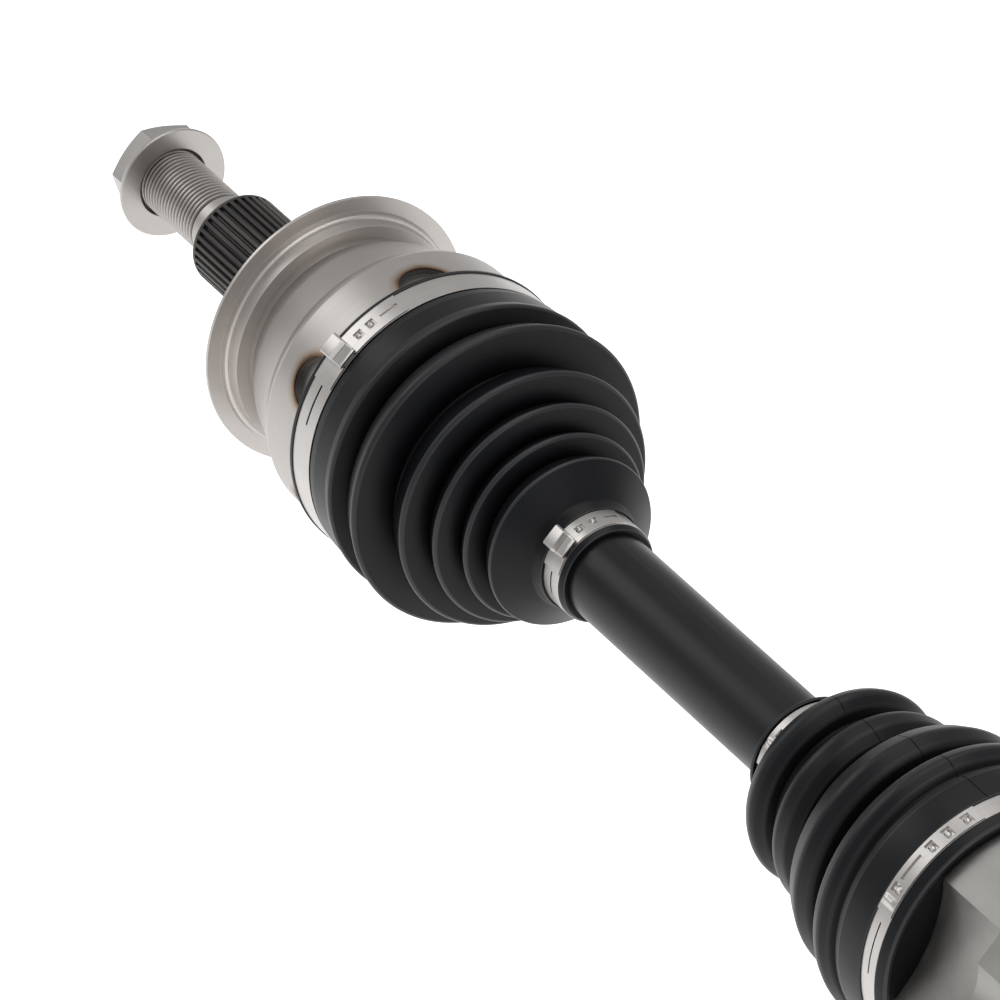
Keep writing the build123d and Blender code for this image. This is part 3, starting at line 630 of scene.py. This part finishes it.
def fold(shape, middle_x, half_width, path, lifts, closed):
    """Rows of vertices of a strip folded along a path: at each cut one on top and one below it."""
    foot_r = path[0][1]
    flat = [Vector((-r * math.sin(math.radians(beta)), r * math.cos(math.radians(beta)))) for beta, r in path]
    ends = (flat[-1], flat[0]) if closed else (flat[0], flat[-1])
    grid = []
    for (beta, _), before, here, after in zip(path, [ends[0], *flat], flat, [*flat[1:], ends[1]]):
        tangent = (after - before).normalized()
        normal = Vector((tangent.y, -tangent.x))
        over = here.length - foot_r
        row = []
        for cut in CUTS:
            rise = 0.0
            for start, end, _, height in spans_at(lifts, beta, cut, cut):
                rise = max(rise, height * math.sin(math.pi * (beta - start) / (end - start)))
            top = here * (1 - over * (1 - crimp(cut)) / here.length) + normal * rise
            low = top - normal * STRIP
            x = middle_x + cut * half_width
            row.append([shape.verts.new((x * MM, y * MM, z * MM)) for y, z in (top, low)])
        grid.append(row)
    return grid


def sheet(shape, middle_x, half_width, path, openings, lifts, closed=False):
    """A folded strip with openings (start, end, share) and lifts (start, end, share, height)."""
    grid = fold(shape, middle_x, half_width, path, lifts, closed)
    rows = len(grid) if closed else len(grid) - 1
    kept = set()
    for i in range(rows):
        beta = (path[i][0] + path[i + 1][0]) / 2 if i + 1 < len(path) else path[i][0]
        for j in range(len(CUTS) - 1):
            if not spans_at(openings, beta, CUTS[j], CUTS[j + 1]):
                kept.add((i, j))
    for i, j in sorted(kept):
        one, two = grid[i], grid[(i + 1) % len(grid)]
        corners = (one[j], one[j + 1], two[j + 1], two[j])
        shape.faces.new([top for top, _ in corners])
        shape.faces.new([low for _, low in corners[::-1]])
        neighbours = (
            ((i - 1) % rows if closed else i - 1, j, one[j], one[j + 1]),
            ((i + 1) % rows if closed else i + 1, j, two[j + 1], two[j]),
            (i, j - 1, two[j], one[j]),
            (i, j + 1, one[j + 1], two[j + 1]),
        )
        for ni, nj, first, second in neighbours:
            if (ni, nj) not in kept:
                shape.faces.new((first[1], second[1], second[0], first[0]))


def make_clamp(node, body, x, width, radius, lap, tail, tongue, slots, windows,
               share=0.38, ear=None, bumps=()):
    """One clamp: a closed band with a slot for the tongue, and a lap over it.

    The lap runs from the angle lap to the angle tail. Over each window's angle it is open to the given
    share, and a hook of the band stands in it. An ear is (angle of its middle, length, height).
    """
    middle, half = x + width / 2, width / 2
    band_r = radius + STRIP
    lap_r = band_r + STRIP
    window = math.degrees(WINDOW_LENGTH / 2 / lap_r)
    hooks = [(w - HOOK_LEAD / radius, w + HOOK_TRAIL / radius, share / 2, HOOK_HEIGHT) for w in windows]
    openings = [(w - window, w + window, share) for w in windows] + slots
    shape = bmesh.new()
    sheet(shape, middle, half, band_path(band_r, lap, tail), [(*tongue, TONGUE_SHARE)], hooks, closed=True)
    sheet(shape, middle, half * LAP_SHARE, lap_path(lap_r, lap, tail, ear), openings, bumps)
    bmesh.ops.recalc_face_normals(shape, faces=shape.faces)
    loose = [vert for vert in shape.verts if not vert.link_faces]
    bmesh.ops.delete(shape, geom=loose, context="VERTS")
    obj = add_mesh(node + "_strip", shape)
    smooth(obj.data, CLAMP_CREASE)
    paint(obj, strip)
    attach(obj, body)
    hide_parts(node)


# ------------------------------------------------------------------ materials of the CAD parts
CAD_CREASE = 32
polished = polished_steel()
spring = spring_steel()
strip = strip_steel()
zinc = plain_turned("zinc_steel", (0.520, 0.492, 0.470), 0.38)
finishes = {
    "axle_nut": plain_turned("nut_steel", (0.470, 0.450, 0.432), 0.34, 0.25),
    "outer_housing": bell_steel(),
    "dust_shield": zinc,
    "shaft": bar_paint(),
    "inner_housing": tulip_steel(),
    "inner_boot_bushing": boot_rubber("bushing_rubber"),
}
for name, node in nodes.items():
    if name.endswith(("circlip", "circlips", "ring", "rings", "washers")):
        material = spring
    elif "clamp" in name:
        material = strip
    else:
        material = finishes.get(name, polished)
    paint(node, material)
    smooth(node.data, CAD_CREASE)

# ------------------------------------------------------------------ boots and clamps in place
make_outer_boot()
make_inner_boot()
make_clamp(
    "outer_boot_clamp_large", "outer_housing", x=OUTER_X / MM + 12.9, width=10.5, radius=52.55,
    lap=15.5, tail=56.0, ear=(43.5, 8.2, 4.4), tongue=(57.0, 73.0),
    slots=[(18.6, 24.5, 0.08), (17.0, 18.8, 0.2)], windows=(28.8, 34.6),
)
make_clamp(
    "outer_boot_clamp_small", "shaft", x=OUTER_X / MM + 116.0, width=9.1, radius=17.6,
    lap=-27.0, tail=74.0, ear=(45.0, 7.6, 4.2), tongue=(77.0, 105.0),
    slots=[(-18.0, -7.0, 0.08), (-22.0, -17.5, 0.2)], windows=(6.5, 23.0),
)
make_clamp(
    "inner_boot_clamp_small", "shaft", x=INNER_X / MM - 126.0, width=7.6, radius=19.2,
    lap=-20.0, tail=76.0, tongue=(80.0, 104.0),
    slots=[(12.0, 36.0, 0.2)], windows=(41.0, -6.0), bumps=[(49.0, 58.0, 0.7, 0.8)],
)
make_clamp(
    "inner_boot_clamp_large", "inner_housing", x=INNER_X / MM - 19.7, width=7.3, radius=48.5,
    lap=12.0, tail=62.0, tongue=(66.0, 87.0),
    slots=[(38.0, 48.5, 0.38)], windows=(17.0, 25.6, 33.0, 52.0), share=0.66, bumps=[(55.5, 59.5, 0.8, 0.9)],
)


# ------------------------------------------------------------------ floor, lights and camera
FLOOR_DROP = 0.30  # from the axle's lowest point
FLOOR_HALF = 12.0
# How bright the studio is, by the height of the direction looked in: a little dimmer overhead.
DOME = {"From Min": -0.1, "From Max": 0.9, "To Min": 0.62, "To Max": 0.50}
# The camera stands off a point on the axis in the dust shield, high on the gearbox side.
CAMERA_BASE_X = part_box("dust_shield")[1].x - 7.6 * MM
CAMERA_OFFSET = Vector((2.1835, -1.2387, 1.5491))
CAMERA_FORWARD = Vector((-0.7216, 0.4309, -0.5419))
CAMERA_LENS = 312.1
CAMERA_SENSOR = 36


def add_floor():
    shape = bmesh.new()
    bmesh.ops.create_grid(shape, x_segments=8, y_segments=8, size=FLOOR_HALF)
    floor = add_mesh("floor", shape)
    floor.location.z = cad_box[0].z - FLOOR_DROP
    paint(floor, pale_floor())


def add_studio():
    """A world that the camera sees as plain white, while the axle is lit by the dome."""
    world = bpy.data.worlds.new("studio")
    world.use_nodes = True
    tree = world.node_tree
    background = tree.nodes["Background"]
    direction = tree.nodes.new("ShaderNodeTexCoord")
    axes = tree.nodes.new("ShaderNodeSeparateXYZ")
    dome = tree.nodes.new("ShaderNodeMapRange")
    rays = tree.nodes.new("ShaderNodeLightPath")
    seen = tree.nodes.new("ShaderNodeMix")
    for socket, value in DOME.items():
        dome.inputs[socket].default_value = value
    seen.inputs[3].default_value = 1.0
    background.inputs["Color"].default_value = (1, 1, 1, 1)
    tree.links.new(direction.outputs["Generated"], axes.inputs[0])
    tree.links.new(axes.outputs[2], dome.inputs["Value"])
    tree.links.new(rays.outputs["Is Camera Ray"], seen.inputs[0])
    tree.links.new(dome.outputs[0], seen.inputs[2])
    tree.links.new(seen.outputs[0], background.inputs["Strength"])
    bpy.context.scene.world = world


def add_light(name, place, aim, size, power):
    data = bpy.data.lights.new(name, "AREA")
    data.shape = "RECTANGLE"
    data.size, data.size_y = size
    data.energy = power
    light = add_object(name, data)
    light.location = place
    light.rotation_euler = (Vector(aim) - Vector(place)).to_track_quat("-Z", "Y").to_euler()


def add_camera():
    data = bpy.data.cameras.new("camera")
    data.lens = CAMERA_LENS
    data.sensor_width = CAMERA_SENSOR
    data.clip_end = 50
    camera = add_object("camera", data)
    camera.location = Vector((CAMERA_BASE_X, 0, 0)) + CAMERA_OFFSET
    camera.rotation_euler = CAMERA_FORWARD.to_track_quat("-Z", "Y").to_euler()
    bpy.context.scene.camera = camera


add_floor()
add_studio()
add_light("top_softbox", place=(0.05, 0.15, 1.3), aim=(0, 0, 0), size=(1.9, 1.0), power=7)
add_light("left_softbox", place=(-1.3, -0.6, 1.0), aim=(-0.1, 0, 0), size=(0.8, 0.8), power=3)
add_light("right_softbox", place=(1.7, 0.1, 0.25), aim=(-0.1, 0, 0), size=(0.7, 1.2), power=5)
add_camera()
bpy.context.scene.view_settings.view_transform = "Standard"
